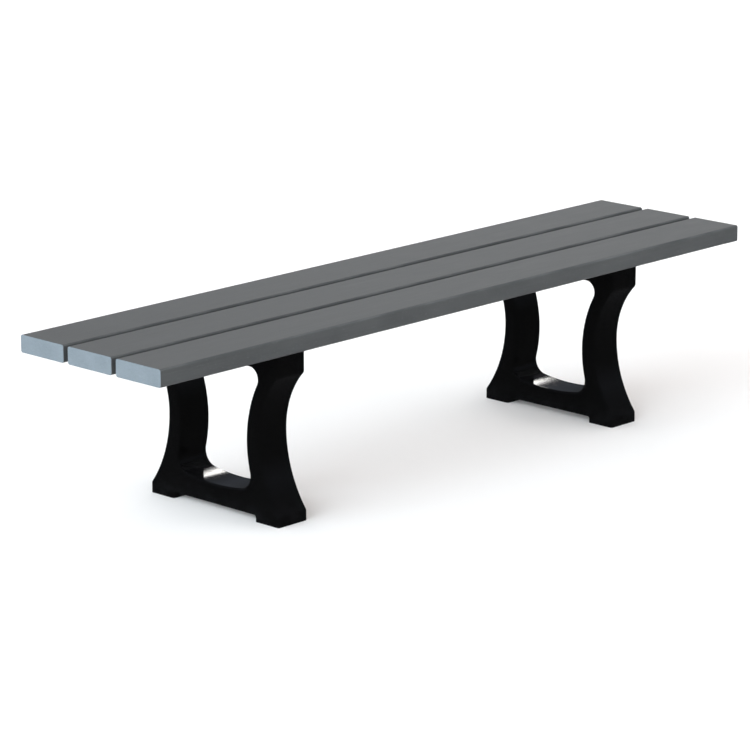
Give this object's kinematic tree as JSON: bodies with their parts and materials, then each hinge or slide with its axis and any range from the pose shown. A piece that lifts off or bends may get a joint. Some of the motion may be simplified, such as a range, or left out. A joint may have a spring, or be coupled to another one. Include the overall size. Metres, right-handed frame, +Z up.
{
  "type": "backless bench",
  "caption": "Backless outdoor bench with a seat of long plastic planks, spaced apart, on moulded end frames that have waisted legs, splayed feet and a low stretcher.",
  "frame": {"origin": "on the floor under the middle of the seat", "axes": "+X along the planks, +Y across the seat towards the rear plank, +Z up"},
  "size_m": [1.829, 0.416, 0.405],
  "materials": {
    "plank_plastic": "grey solid-coloured plastic lumber with a fine drawn grain and a faint mottle",
    "frame_plastic": "black moulded plastic with a satin to glossy skin",
    "cleat_plastic": "black plastic lumber with a fine drawn grain",
    "screw_steel": "stainless steel, satin",
    "washer_steel": "stainless steel, satin"
  },
  "bodies": {
    "root": {"seat_plank_front": "plank_plastic", "seat_plank_middle": "plank_plastic", "seat_plank_rear": "plank_plastic", "end_frame_left": "frame_plastic", "end_frame_right": "frame_plastic", "seat_cleat": "cleat_plastic", "lag_screws_left_front": "screw_steel", "lag_screws_left_middle": "screw_steel", "lag_screws_left_rear": "screw_steel", "lag_screws_right_front": "screw_steel", "lag_screws_right_middle": "screw_steel", "lag_screws_right_rear": "screw_steel", "lag_screws_cleat": "screw_steel", "washers_left_front": "washer_steel", "washers_left_middle": "washer_steel", "washers_left_rear": "washer_steel", "washers_right_front": "washer_steel", "washers_right_middle": "washer_steel", "washers_right_rear": "washer_steel", "washers_cleat": "washer_steel"}
  },
  "joints": []
}
